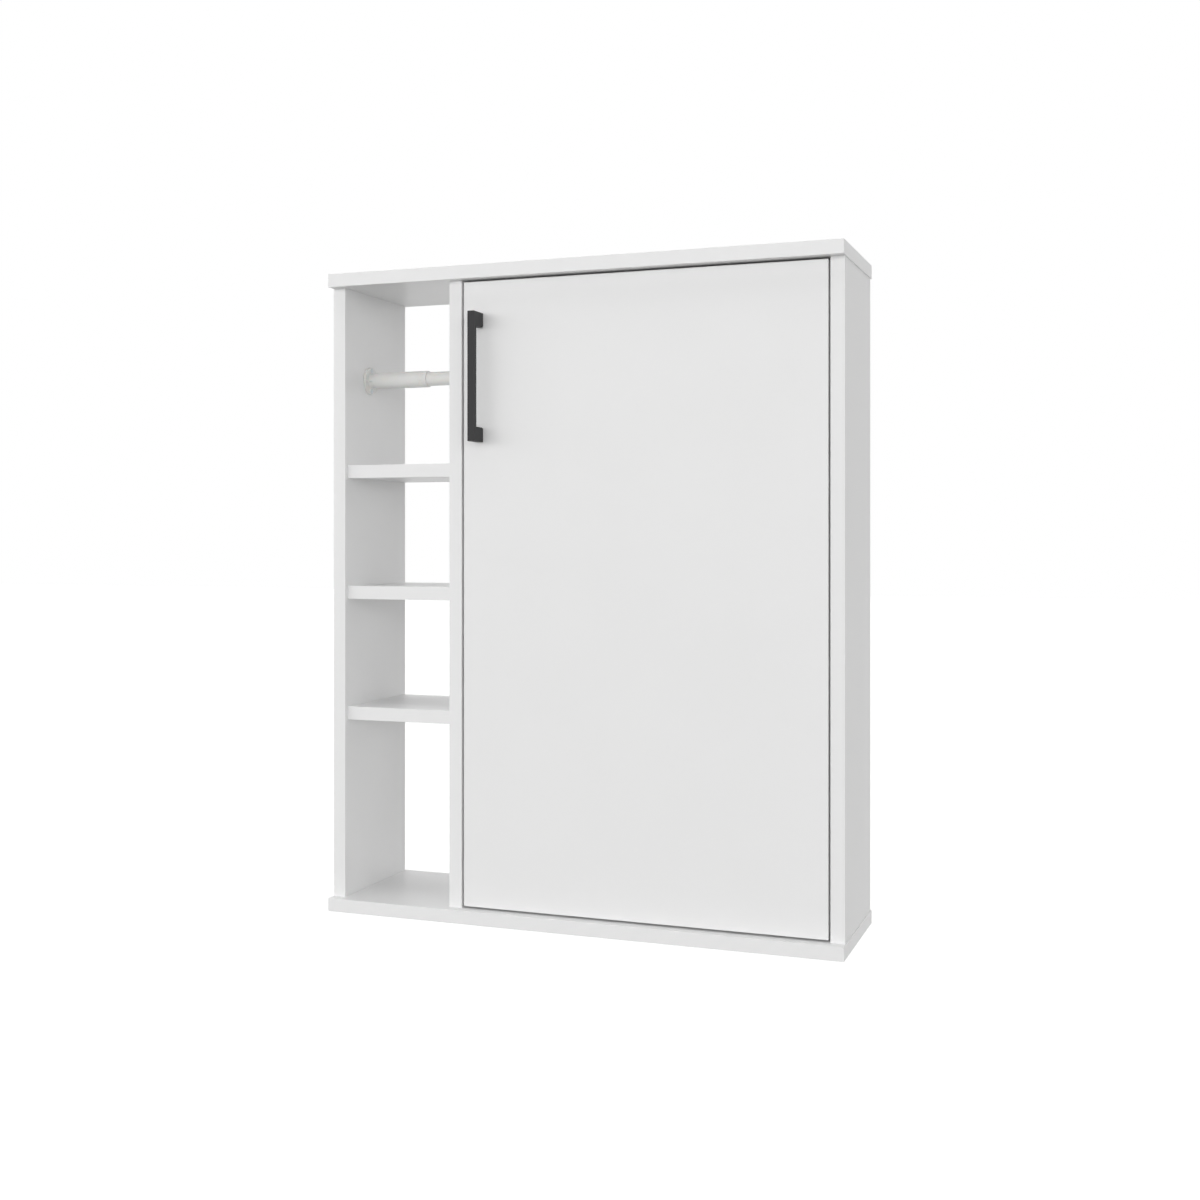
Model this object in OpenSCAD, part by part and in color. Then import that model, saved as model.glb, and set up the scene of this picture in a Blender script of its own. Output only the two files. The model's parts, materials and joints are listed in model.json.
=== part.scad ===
// Wall-hung bathroom cabinet: an open shelf column beside a door compartment.
// X runs to the right, Y runs towards the wall and Z runs up, in millimetres.
// The origin is the centre of the four wall screw holes, on the wall plane.

/* [Carcass] */
// Width over the top and bottom panels
body_w = 590; // [560:1:800]
// Height over the top and bottom panels
body_h = 725; // [640:1:960]
// Depth from the wall to the front of the top panel
body_d = 160; // [150:1:260]
// Thickness of every carcass board
board_t = 15; // [14:0.5:18]
// How far the side panels stand in from the ends of the top and bottom panels
side_inset = 1; // [0:0.5:6]
// How far the uprights stand back from the front of the top panel
upright_setback = 11; // [6:0.5:20]
// Thickness of the back panel
back_t = 3; // [2.5:0.5:5]
// How far the back panel laps over the rear edges of the uprights
back_lap = 12; // [10:0.5:13]
// Height of each hanging rail
rail_h = 80; // [70:1:110]

/* [Open column] */
// Clear width of the open column
column_w = 131.5; // [120:0.5:180]
// Clear height of the two middle bays
middle_bay_h = 123; // [100:1:150]
// How far the column shelves stand back from the front edges of the uprights
shelf_setback = 6; // [2:0.5:12]

/* [Inner shelves] */
// How far the inner shelves stand back from the rear face of the door
inner_shelf_setback = 20; // [15:1:40]
// Play at each end of an inner shelf
inner_shelf_play = 1.5; // [1.4:0.1:2.5]
// Distance of the support pins from the front and rear edges of an inner shelf
shelf_pin_inset = 20; // [12:1:26]
// Pitch of the rows of pin holes
pin_pitch = 32; // [25:1:36]
// Holes in each row
pin_rows = 5; // [1:2:5]
// Radius of a support pin
shelf_pin_r = 2.5; // [2:0.25:3]
// Depth of a pin in its hole
shelf_pin_depth = 8; // [6:0.5:9]
// Length of a pin under the shelf
shelf_pin_reach = 9; // [7:0.5:12]

/* [Door] */
// Gap round the door
door_gap = 2.25; // [2.25:0.25:4]
// How far the face of the door stands behind the front edges of the uprights
door_setback = 1; // [0.5:0.5:2]
// Thickness of the door
door_t = 15; // [15:0.5:19]

/* [Handle] */
// Width of the handle bar
handle_w = 8; // [6.5:0.5:14]
// Length of the handle
handle_l = 142; // [110:1:260]
// Distance of the handle's front from the face of the door
handle_reach = 24; // [20:0.5:40]
// Thickness of the grip bar
handle_bar_t = 6.5; // [6:0.5:10]
// Height of each foot of the handle
handle_foot_h = 16; // [15:0.5:25]
// Radius that rounds each foot where it meets the door
handle_foot_r = 3; // [1:0.5:4]
// Distance between the two handle screws
handle_hole_spacing = 128; // [96:1:246]
// Distance of the handle's centre line from the free edge of the door
handle_edge = 19.5; // [15:0.5:60]
// Distance of the handle's end from the top of the door
handle_drop = 35.5; // [20:0.5:200]

/* [Hinges] */
// Distance of each hinge from the top or bottom of the door
hinge_end = 100; // [80:1:140]
// Distance of the hinge pin from the edge of the door
hinge_pin_edge = 9; // [9:0.25:10]
// Depth of the hinge pin behind the face of the door
hinge_pin_depth = 6.5; // [6.25:0.25:6.75]
// Radius of the hinge pin
hinge_pin_r = 1.25; // [1:0.05:1.5]
// Radius of the hinge cup
cup_r = 17.5; // [17:0.25:18]
// Wood left between the cup and the edge of the door
cup_edge = 3; // [3:0.25:4]
// Wall of the hinge cup
cup_wall = 0.8; // [0.6:0.1:1.2]
// Thickness of the flange round the cup
cup_flange_t = 1.2; // [0.8:0.1:1.4]
// Distance between the two screws of a cup
cup_screw_spacing = 48; // [46:0.5:54]
// Width of the hinge arm
arm_w = 12; // [10:0.5:12]
// Thickness of the hinge arm
arm_t = 1.8; // [1.5:0.1:2]
// Length of the hinge arm along the side panel
arm_l = 44; // [40:1:55]
// Thickness of the mounting plate
plate_t = 2.5; // [2:0.1:2.6]
// Distance between the two screws of a mounting plate
plate_screw_spacing = 32; // [28:1:40]

/* [Magnetic catch] */
// Distance of the catch from the top of the door
catch_drop = 60; // [55:1:80]
// Height of the catch over its two ears
catch_h = 46; // [44:1:50]
// Width of the catch, away from the divider
catch_w = 13; // [12:0.5:16]
// Depth of the catch
catch_d = 14; // [13:0.5:18]
// Thickness of the strike plate
strike_t = 1.2; // [1:0.1:2]

/* [Paper roller] */
// How far the roller's axis lies behind the front edges of the uprights
roller_setback = 57; // [50:1:70]
// Outer radius of the roller
roller_r = 9.5; // [9:0.25:11]
// Wall of each roller tube
roller_wall = 1.4; // [1.2:0.1:1.6]
// Length of the outer tube
roller_outer_l = 68; // [62:1:76]
// Length of the inner tube held inside the outer one
roller_overlap = 30; // [25:1:34]
// Radius of the end pins of the roller
roller_pin_r = 5; // [4:0.25:5.5]
// Radius of the flange of each socket
socket_r = 16; // [15:0.5:20]
// Thickness of the flange of each socket
socket_flange_t = 3; // [2.5:0.5:4]
// Depth of each socket's bore
socket_depth = 6; // [5:0.5:7]

/* [Fixings] */
// Distance between the wall screws along the width
wall_screw_spacing = 300; // [240:1:340]
// Radius of the wall screw holes
wall_hole_r = 3; // [2.5:0.25:4]
// Distance of the carcass screws from the front and rear edges of the uprights
joint_inset = 37; // [30:1:42]
// Distance of the column shelf screws from the front and rear edges of the shelves
shelf_joint_inset = 30; // [26:1:40]
// Distance between the screws that hold a rail to the top or bottom panel
rail_screw_spacing = 200; // [160:1:220]
// Length of a carcass screw
joint_l = 50; // [45:1:55]
// Radius of a carcass screw's head
joint_head_r = 5; // [4.5:0.25:5.5]
// Thickness of a carcass screw's head
joint_head_t = 1.5; // [1:0.25:2.5]
// Radius of a carcass screw's neck
joint_neck_r = 3.5; // [3:0.25:3.75]
// Radius of a carcass screw's threaded part
joint_core_r = 2.6; // [2:0.1:2.9]
// Thickness of a cover cap
cap_t = 1.2; // [0.8:0.1:2]
// Radius of a wooden dowel
dowel_r = 4; // [3:0.25:4.5]
// Length of a wooden dowel
dowel_l = 30; // [25:1:35]
// Length of a dowel in the face of a board
dowel_face_depth = 10; // [8:0.5:11]
// Shank radius of the small fixing screws
small_screw_r = 1.75; // [1.5:0.05:2]
// Head radius of the small fixing screws
small_head_r = 3.2; // [2.8:0.1:3.6]
// Length of the small fixing screws in the wood
small_screw_l = 11; // [9:0.5:12]
// Radius of a back panel nail
nail_r = 0.8; // [0.7:0.05:1]
// Length of a back panel nail
nail_l = 15; // [12:0.5:15.5]
// Radial play of a pin or screw in its hole
fit_gap = 0.05; // [0.03:0.01:0.1]
// Play between pieces that must not rub
loose_gap = 0.3; // [0.2:0.05:0.5]

/* [Hidden] */

$fn = 48;
// How far a cutting shape runs past the face that it cuts
cut = 1;
// Free depth past the end of a screw, nail, pin or dowel
end_play = 0.5;
white = [0.93, 0.93, 0.93];
steel = [0.72, 0.73, 0.74];
zinc = [0.62, 0.63, 0.65];
black = [0.2, 0.2, 0.2];
beech = [0.82, 0.68, 0.5];
clear_white = [0.88, 0.88, 0.86];

// Places along the width
comp_w = body_w - 2 * side_inset - 3 * board_t - column_w;
comp_x0 = -comp_w / 2;
comp_x1 = comp_w / 2;
divider_x = comp_x0 - board_t;
column_x0 = divider_x - column_w;
left_x = column_x0 - board_t;
panel_x0 = left_x - side_inset;
upright_xs = [left_x, divider_x, comp_x1];

// Places along the depth
upright_y0 = -body_d + upright_setback;
upright_y1 = -back_t;
shelf_y0 = upright_y0 + shelf_setback;
door_y0 = upright_y0 + door_setback;
door_y1 = door_y0 + door_t;
inner_shelf_y0 = door_y1 + inner_shelf_setback;
inner_shelf_back_play = 1;
inner_shelf_y1 = -back_t - inner_shelf_back_play;
rail_y0 = -back_t - board_t;
rail_mid_y = -back_t - board_t / 2;
joint_ys = [upright_y0 + joint_inset, upright_y1 - joint_inset];
shelf_joint_ys = [shelf_y0 + shelf_joint_inset, upright_y1 - shelf_joint_inset];
pin_ys = [inner_shelf_y0 + shelf_pin_inset, inner_shelf_y1 - shelf_pin_inset];

// Places along the height
body_z0 = -body_h / 2;
inner_h = body_h - 2 * board_t;
inner_z0 = -inner_h / 2;
inner_z1 = inner_h / 2;
column_shelf_zs = [
    -(middle_bay_h + board_t),
    0,
    middle_bay_h + board_t
];
inner_shelf_zs = [-inner_h / 6, inner_h / 6];
rail_zs = [inner_z0 + rail_h / 2, inner_z1 - rail_h / 2];
rail_dowel_zs = [-rail_h / 4, rail_h / 4];
nail_zs = [for (i = [-2:2]) i * inner_h / 6];

// Parts of the screws, caps, nails and pins
joint_neck_past = 4;
joint_recess_r = 2.3;
joint_recess_depth = 4.5;
cap_stem_r = joint_recess_r * cos(30) - 4 * fit_gap;
cap_stem_l = joint_recess_depth - 1.5;
small_head_t = 1.2;
recess_l = 3.2;
recess_w = 0.7;
recess_depth = 1;
nail_head_r = 2 * nail_r;
nail_head_t = 0.6;
rail_nail_x = 50;
pin_collar_r = shelf_pin_r + 1.5;

// Door and hinge places
door_x0 = comp_x0 + door_gap;
door_x1 = comp_x1 - door_gap;
door_h = inner_h - 2 * door_gap;
pin_x = door_x1 - hinge_pin_edge;
pin_y = door_y0 + hinge_pin_depth;
pin_back = door_t - hinge_pin_depth;
hinge_zs = [-(door_h / 2 - hinge_end), door_h / 2 - hinge_end];
cup_x = door_x1 - cup_edge - cup_r;
eye_wall = 1.35;
eye_r = hinge_pin_r + eye_wall;
cup_floor = eye_r + loose_gap;
cup_depth = pin_back + cup_floor + cup_wall;
arm_side_play = 1;
slot_w = arm_w + 2 * arm_side_play;
pin_offset = cup_r + cup_edge - hinge_pin_edge;
pin_half = sqrt(pow(cup_r, 2) - pow(pin_offset + hinge_pin_r, 2)) - 2 * fit_gap;
cup_screw_x = cup_x - 6;
cup_ear_r = 6.5;
cup_flange_lap = 1.5;
arm_r = norm([hinge_pin_edge, pin_back]) + 2 * loose_gap;
arm_face = hinge_pin_edge + door_gap - plate_t - arm_t;
arm_bend = 1.5;
arm_straight_y0 = pin_y + arm_r + arm_t + arm_bend;
arm_screw_inset = 8;
arm_screw_ys = [arm_straight_y0 + arm_screw_inset, arm_straight_y0 + arm_l - arm_screw_inset];
arm_screw_r = 2;
arm_screw_l = 9;
arm_screw_head_r = 3.6;
arm_screw_head_t = 1.8;
plate_mid_y = arm_straight_y0 + arm_l / 2;
plate_ear_r = 7;

// Handle places
handle_x = door_x0 + handle_edge;
handle_z1 = door_h / 2 - handle_drop;
handle_mid_z = handle_z1 - handle_l / 2;
handle_screw_zs = [handle_mid_z - handle_hole_spacing / 2, handle_mid_z + handle_hole_spacing / 2];
handle_screw_r = 2;
handle_screw_depth = 10;
handle_screw_head_r = 4;
handle_screw_head_t = 2.4;
handle_window_h = handle_l - 2 * handle_foot_h;

// Catch places
catch_z = door_h / 2 - catch_drop;
magnet_proud = 1;
catch_y0 = door_y1 + strike_t + loose_gap + magnet_proud;
catch_wall = 2;
catch_ear_t = 4;
catch_ear_d = 9;
catch_ear_h = 12;
catch_screw_zs = [catch_z - (catch_h - catch_ear_h) / 2, catch_z + (catch_h - catch_ear_h) / 2];
magnet_h = catch_h - 2 * catch_ear_h;
strike_h = 36;
strike_w = 9.5;
strike_x0 = door_x0 + 1;
strike_screw_zs = [catch_z - 13, catch_z + 13];

// Roller places
top_bay_z = (column_shelf_zs[2] + board_t / 2 + inner_z1) / 2;
roller_y = upright_y0 + roller_setback;
socket_l = socket_flange_t + socket_depth;
roller_end_play = 0.5;
roller_x0 = column_x0 + socket_l + roller_end_play;
roller_x1 = divider_x - socket_l - roller_end_play;
outer_bore_r = roller_r - roller_wall;
inner_tube_r = outer_bore_r - 2 * fit_gap;
end_wall = 2;
inner_tube_x0 = roller_x0 + roller_outer_l - roller_overlap;
spring_x0 = roller_x0 + end_wall;
spring_l = inner_tube_x0 - spring_x0;
spring_wire_r = 0.7;
spring_r = outer_bore_r - spring_wire_r - 2 * loose_gap;
spring_turns = 9;
socket_boss_r = roller_pin_r + 3;
socket_screw_offset = (socket_r + socket_boss_r) / 2;

// A board between two opposite corners
module board(low, high) {
    translate(low)
        cube(high - low);
}

// Turns a piece drawn along Z so that it runs along X, or against X
module along_x() {
    rotate([0, 90, 0])
        children();
}

module against_x() {
    rotate([0, -90, 0])
        children();
}

// Turns a piece drawn along Z so that it runs along Y, or against Y
module along_y() {
    rotate([-90, 0, 0])
        children();
}

module against_y() {
    rotate([90, 0, 0])
        children();
}

// Carcass screw, head at the bottom, pointing up, with its head under the cap
module joint_screw() {
    translate([0, 0, cap_t])
        difference() {
            union() {
                cylinder(h = joint_head_t, r = joint_head_r);
                cylinder(h = board_t - cap_t + joint_neck_past, r = joint_neck_r);
                cylinder(h = joint_l, r = joint_core_r);
            }
            translate([0, 0, -cut])
                cylinder(h = joint_recess_depth + cut, r = joint_recess_r, $fn = 6);
        }
}

// Hole for a carcass screw and its cap
module joint_hole() {
    translate([0, 0, -cut])
        cylinder(h = cut + cap_t + joint_head_t, r = joint_head_r + fit_gap);
    cylinder(h = board_t + joint_neck_past, r = joint_neck_r + fit_gap);
    cylinder(h = cap_t + joint_l + end_play, r = joint_core_r + fit_gap);
}

// Cap that closes the hole flush with the board
module joint_cap() {
    cylinder(h = cap_t, r = joint_head_r - fit_gap);
    translate([0, 0, cap_t])
        cylinder(h = cap_stem_l, r = cap_stem_r);
}

// Small countersunk screw: the head's face lies at z = 0 and the shank points up
module small_screw(l) {
    difference() {
        union() {
            cylinder(h = small_head_t, r1 = small_head_r, r2 = small_screw_r);
            cylinder(h = l, r = small_screw_r);
        }
        cross_recess();
    }
}

module small_screw_hole(l) {
    translate([0, 0, -cut])
        cylinder(h = cut, r = small_head_r + fit_gap);
    cylinder(h = small_head_t, r1 = small_head_r + fit_gap, r2 = small_screw_r + fit_gap);
    cylinder(h = l + end_play, r = small_screw_r + fit_gap);
}

module cross_recess() {
    for (a = [0, 90])
        rotate([0, 0, a])
            translate([-recess_l / 2, -recess_w / 2, -cut])
                cube([recess_l, recess_w, cut + recess_depth]);
}

// Dowel that runs from the face of one board, at z = 0, into the edge of another
module dowel() {
    translate([0, 0, -dowel_face_depth])
        cylinder(h = dowel_l, r = dowel_r);
}

module dowel_hole() {
    translate([0, 0, -dowel_face_depth - end_play])
        cylinder(h = dowel_l + 2 * end_play, r = dowel_r + fit_gap);
}

// Places of the carcass screws in the top or bottom panel, on its outer face
module at_panel_joints() {
    for (x = upright_xs)
        for (y = joint_ys)
            translate([x + board_t / 2, y, body_z0])
                children();
}

module at_rail_joints() {
    for (x = [-rail_screw_spacing / 2, rail_screw_spacing / 2])
        translate([x, rail_mid_y, body_z0])
            children();
}

// Places of the dowels between the bottom panel and the uprights
module at_panel_dowels() {
    for (x = upright_xs)
        translate([x + board_t / 2, (joint_ys[0] + joint_ys[1]) / 2, inner_z0])
            children();
}

// The same places on both panels
module both_ends() {
    children();
    mirror([0, 0, 1])
        children();
}

module all_panel_holes() {
    both_ends() {
        at_panel_joints()
            joint_hole();
        at_panel_dowels()
            dowel_hole();
    }
}

module all_rail_holes() {
    both_ends()
        at_rail_joints()
            joint_hole();
}

// Column shelf screws, from the outer face of the left side and from the door compartment
module at_shelf_joints() {
    for (z = column_shelf_zs)
        for (y = shelf_joint_ys) {
            translate([left_x, y, z])
                along_x()
                    children();
            translate([comp_x0, y, z])
                against_x()
                    children();
        }
}

// Dowels between the rails and the two uprights of the door compartment
module at_rail_dowels() {
    for (z = rail_zs)
        for (dz = rail_dowel_zs) {
            translate([comp_x0, rail_mid_y, z + dz])
                along_x()
                    children();
            translate([comp_x1, rail_mid_y, z + dz])
                against_x()
                    children();
        }
}

module at_wall_screws() {
    for (x = [-wall_screw_spacing / 2, wall_screw_spacing / 2])
        for (z = rail_zs)
            translate([x, 0, z])
                against_y()
                    children();
}

module wall_holes() {
    at_wall_screws()
        translate([0, 0, -cut])
            cylinder(h = back_t + board_t + 2 * cut, r = wall_hole_r);
}

module at_nails() {
    for (z = nail_zs) {
        translate([comp_x0 - back_lap / 2, 0, z])
            against_y()
                children();
        translate([comp_x1 + back_lap / 2, 0, z])
            against_y()
                children();
    }
    for (x = [-rail_nail_x, rail_nail_x])
        for (z = rail_zs)
            translate([x, 0, z])
                against_y()
                    children();
}

module nail() {
    cylinder(h = nail_head_t, r = nail_head_r);
    cylinder(h = nail_l, r = nail_r);
}

module nail_hole() {
    translate([0, 0, -cut])
        cylinder(h = cut + nail_head_t, r = nail_head_r + fit_gap);
    cylinder(h = nail_l + end_play, r = nail_r + fit_gap);
}

// Rows of pin holes in the two uprights of the door compartment, around one shelf
module at_pin_row(z) {
    for (i = [-(pin_rows - 1) / 2:(pin_rows - 1) / 2])
        for (y = pin_ys) {
            translate([comp_x0, y, z + i * pin_pitch])
                against_x()
                    children();
            translate([comp_x1, y, z + i * pin_pitch])
                along_x()
                    children();
        }
}

function pin_z(shelf_z) = shelf_z - board_t / 2 - shelf_pin_r - fit_gap;

module pin_holes() {
    for (z = inner_shelf_zs)
        at_pin_row(pin_z(z))
            translate([0, 0, -cut])
                cylinder(h = cut + shelf_pin_depth + end_play, r = shelf_pin_r + fit_gap);
}

// Screws of the roller sockets and of the hinges, each drawn on the face that it enters
module at_socket_screws() {
    for (s = [-1, 1]) {
        translate([column_x0 + socket_flange_t, roller_y, top_bay_z + s * socket_screw_offset])
            against_x()
                children();
        translate([divider_x - socket_flange_t, roller_y, top_bay_z + s * socket_screw_offset])
            along_x()
                children();
    }
}

module at_plate_screws() {
    for (z = hinge_zs)
        for (s = [-1, 1])
            translate([comp_x1 - plate_t, plate_mid_y, z + s * plate_screw_spacing / 2])
                along_x()
                    children();
}

module at_arm_screws() {
    for (z = hinge_zs)
        for (y = arm_screw_ys)
            translate([pin_x + arm_face, y, z])
                along_x()
                    children();
}

module at_cup_screws() {
    for (z = hinge_zs)
        for (s = [-1, 1])
            translate([cup_screw_x, door_y1 + cup_flange_t, z + s * cup_screw_spacing / 2])
                against_y()
                    children();
}

module at_catch_screws() {
    for (z = catch_screw_zs)
        translate([comp_x0 + catch_ear_t, catch_y0 + catch_d - catch_ear_d / 2, z])
            against_x()
                children();
}

module at_strike_screws() {
    for (z = strike_screw_zs)
        translate([strike_x0 + strike_w / 2, door_y1 + strike_t, z])
            against_y()
                children();
}

module at_handle_screws() {
    for (z = handle_screw_zs)
        translate([handle_x, door_y1, z])
            against_y()
                children();
}

// Carcass boards
module bottom_board() {
    board([panel_x0, -body_d, body_z0], [panel_x0 + body_w, 0, inner_z0]);
}

module top_panel() {
    color(white)
        difference() {
            mirror([0, 0, 1])
                bottom_board();
            all_panel_holes();
            all_rail_holes();
        }
}

module bottom_panel() {
    color(white)
        difference() {
            bottom_board();
            all_panel_holes();
            all_rail_holes();
        }
}

module upright(x) {
    board([x, upright_y0, inner_z0], [x + board_t, upright_y1, inner_z1]);
}

module shelf_joint_holes() {
    at_shelf_joints()
        joint_hole();
}

module rail_dowel_holes() {
    at_rail_dowels()
        dowel_hole();
}

module left_side() {
    color(white)
        difference() {
            upright(left_x);
            all_panel_holes();
            shelf_joint_holes();
            at_socket_screws()
                small_screw_hole(socket_flange_t + small_screw_l);
        }
}

module divider() {
    color(white)
        difference() {
            upright(divider_x);
            all_panel_holes();
            shelf_joint_holes();
            rail_dowel_holes();
            pin_holes();
            at_nails()
                nail_hole();
            at_socket_screws()
                small_screw_hole(socket_flange_t + small_screw_l);
            at_catch_screws()
                small_screw_hole(catch_ear_t + small_screw_l);
        }
}

module right_side() {
    color(white)
        difference() {
            upright(comp_x1);
            all_panel_holes();
            rail_dowel_holes();
            pin_holes();
            at_nails()
                nail_hole();
            at_plate_screws()
                small_screw_hole(plate_t + small_screw_l);
            at_arm_screws()
                arm_screw_hole();
        }
}

module column_shelf(z) {
    color(white)
        difference() {
            board(
                [column_x0, shelf_y0, z - board_t / 2],
                [divider_x, upright_y1, z + board_t / 2]
            );
            shelf_joint_holes();
        }
}

module column_shelf_upper() {
    column_shelf(column_shelf_zs[2]);
}

module column_shelf_middle() {
    column_shelf(column_shelf_zs[1]);
}

module column_shelf_lower() {
    column_shelf(column_shelf_zs[0]);
}

module back_panel() {
    color(white)
        difference() {
            board(
                [comp_x0 - back_lap, -back_t, inner_z0 + loose_gap],
                [comp_x1 + back_lap, 0, inner_z1 - loose_gap]
            );
            wall_holes();
            at_nails()
                nail_hole();
        }
}

module hanging_rail(z) {
    color(white)
        difference() {
            board([comp_x0, rail_y0, z - rail_h / 2], [comp_x1, -back_t, z + rail_h / 2]);
            wall_holes();
            rail_dowel_holes();
            all_rail_holes();
            at_nails()
                nail_hole();
        }
}

module hanging_rail_upper() {
    hanging_rail(rail_zs[1]);
}

module hanging_rail_lower() {
    hanging_rail(rail_zs[0]);
}

module inner_shelf(z) {
    color(white)
        board(
            [comp_x0 + inner_shelf_play, inner_shelf_y0, z - board_t / 2],
            [comp_x1 - inner_shelf_play, inner_shelf_y1, z + board_t / 2]
        );
}

module inner_shelf_upper() {
    inner_shelf(inner_shelf_zs[1]);
}

module inner_shelf_lower() {
    inner_shelf(inner_shelf_zs[0]);
}

// Pin that stands half in the upright, with a collar against its face
module shelf_pin() {
    translate([0, 0, -shelf_pin_reach])
        cylinder(h = shelf_pin_reach + shelf_pin_depth, r = shelf_pin_r);
    translate([0, 0, -inner_shelf_play + loose_gap])
        cylinder(h = inner_shelf_play - loose_gap, r = pin_collar_r);
}

module shelf_pins() {
    color(steel)
        for (shelf_z = inner_shelf_zs)
            for (y = pin_ys) {
                translate([comp_x0, y, pin_z(shelf_z)])
                    against_x()
                        shelf_pin();
                translate([comp_x1, y, pin_z(shelf_z)])
                    along_x()
                        shelf_pin();
            }
}

module at_hinges() {
    for (z = hinge_zs)
        translate([0, 0, z])
            children();
}

module door() {
    color(white)
        difference() {
            board([door_x0, door_y0, -door_h / 2], [door_x1, door_y1, door_h / 2]);
            at_hinges()
                translate([cup_x, door_y1 + cut, 0])
                    against_y()
                        cylinder(h = cut + cup_depth + end_play, r = cup_r + fit_gap);
            at_cup_screws()
                small_screw_hole(cup_flange_t + small_screw_l);
            at_strike_screws()
                small_screw_hole(strike_t + small_screw_l);
            at_handle_screws()
                translate([0, 0, -cut])
                    cylinder(h = door_t + 2 * cut, r = handle_screw_r + fit_gap);
        }
}

// Side outline of the handle, drawn in depth and height
module handle_outline() {
    difference() {
        square([handle_reach, handle_l]);
        translate([handle_bar_t, handle_foot_h])
            square([handle_reach, handle_window_h]);
        foot_rounding();
        translate([0, handle_l])
            mirror([0, 1])
                foot_rounding();
    }
}

module foot_rounding() {
    translate([handle_reach - handle_foot_r, handle_foot_h - handle_foot_r])
        difference() {
            square(handle_foot_r + cut);
            circle(r = handle_foot_r);
        }
}

module handle() {
    color(black)
        difference() {
            translate([handle_x - handle_w / 2, door_y0 - handle_reach, handle_z1 - handle_l])
                rotate([90, 0, 90])
                    linear_extrude(height = handle_w)
                        handle_outline();
            at_handle_screws()
                cylinder(h = door_t + handle_screw_depth + end_play, r = handle_screw_r + fit_gap);
        }
}

module handle_screws() {
    color(steel)
        at_handle_screws()
            difference() {
                union() {
                    translate([0, 0, -handle_screw_head_t])
                        cylinder(h = handle_screw_head_t, r = handle_screw_head_r);
                    cylinder(h = door_t + handle_screw_depth, r = handle_screw_r);
                }
                translate([0, 0, -handle_screw_head_t])
                    cross_recess();
            }
}

// Cup with two cheeks that carry the pin, and its flange on the face of the wood
module hinge_cup() {
    difference() {
        union() {
            translate([cup_x, door_y1, 0])
                against_y()
                    cylinder(h = cup_depth, r = cup_r);
            translate([cup_x, door_y1, 0])
                along_y()
                    cylinder(h = cup_flange_t, r = cup_r + cup_flange_lap);
            for (s = [-1, 1])
                translate([cup_screw_x, door_y1, s * cup_screw_spacing / 2])
                    along_y()
                        cylinder(h = cup_flange_t, r = cup_ear_r);
            translate([cup_screw_x - cup_ear_r, door_y1, -cup_screw_spacing / 2])
                cube([2 * cup_ear_r, cup_flange_t, cup_screw_spacing]);
        }
        intersection() {
            translate([cup_x, pin_y - cup_floor, 0])
                along_y()
                    cylinder(h = pin_back + cup_floor + cup_flange_t + cut, r = cup_r - cup_wall);
            translate([cup_x - cup_r, pin_y - cup_floor, -slot_w / 2])
                cube([2 * cup_r, cup_depth + cup_flange_t + cut, slot_w]);
        }
        translate([pin_x, pin_y, -cup_r])
            cylinder(h = 2 * cup_r, r = hinge_pin_r + fit_gap);
    }
}

module hinge_cups() {
    color(zinc)
        difference() {
            at_hinges()
                hinge_cup();
            at_cup_screws()
                small_screw_hole(small_screw_l);
        }
}

module hinge_cup_screws() {
    color(steel)
        at_cup_screws()
            small_screw(cup_flange_t + small_screw_l);
}

module hinge_pins() {
    color(steel)
        at_hinges()
            translate([pin_x, pin_y, -pin_half])
                cylinder(h = 2 * pin_half, r = hinge_pin_r);
}

// Quarter ring, from its start direction turning left
module quarter_ring(inner_r, start) {
    rotate([0, 0, start])
        intersection() {
            difference() {
                cylinder(h = arm_w, r = inner_r + arm_t);
                translate([0, 0, -cut])
                    cylinder(h = arm_w + 2 * cut, r = inner_r);
            }
            translate([0, 0, -cut])
                cube([2 * arm_r, 2 * arm_r, arm_w + 2 * cut]);
        }
}

// Swan-neck arm about its eye: out of the cup, round the edge of the door, back along the side
module hinge_arm() {
    translate([pin_x, pin_y, -arm_w / 2])
        difference() {
            union() {
                cylinder(h = arm_w, r = eye_r);
                translate([-arm_r - arm_t / 2, -arm_t / 2, 0])
                    cube([arm_r + arm_t / 2, arm_t, arm_w]);
                translate([-arm_r - arm_t / 2, 0, 0])
                    cylinder(h = arm_w, r = arm_t / 2);
                quarter_ring(arm_r, 90);
                translate([0, arm_r, 0])
                    cube([arm_face - arm_bend, arm_t, arm_w]);
                translate([arm_face - arm_bend, arm_r + arm_t + arm_bend, 0])
                    quarter_ring(arm_bend, 270);
                translate([arm_face, arm_r + arm_t + arm_bend, 0])
                    cube([arm_t, arm_l, arm_w]);
            }
            translate([0, 0, -cut])
                cylinder(h = arm_w + 2 * cut, r = hinge_pin_r + fit_gap);
        }
}

// Screw that holds the arm on its plate, its head's underside at z = 0
module arm_screw() {
    difference() {
        union() {
            translate([0, 0, -arm_screw_head_t])
                cylinder(h = arm_screw_head_t, r = arm_screw_head_r);
            cylinder(h = arm_screw_l, r = arm_screw_r);
        }
        translate([0, 0, -arm_screw_head_t])
            cross_recess();
    }
}

module arm_screw_hole() {
    translate([0, 0, -cut])
        cylinder(h = cut + arm_screw_l + end_play, r = arm_screw_r + fit_gap);
}

module hinge_arms() {
    color(zinc)
        difference() {
            at_hinges()
                hinge_arm();
            at_arm_screws()
                arm_screw_hole();
        }
}

module hinge_arm_screws() {
    color(steel)
        at_arm_screws()
            arm_screw();
}

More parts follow.
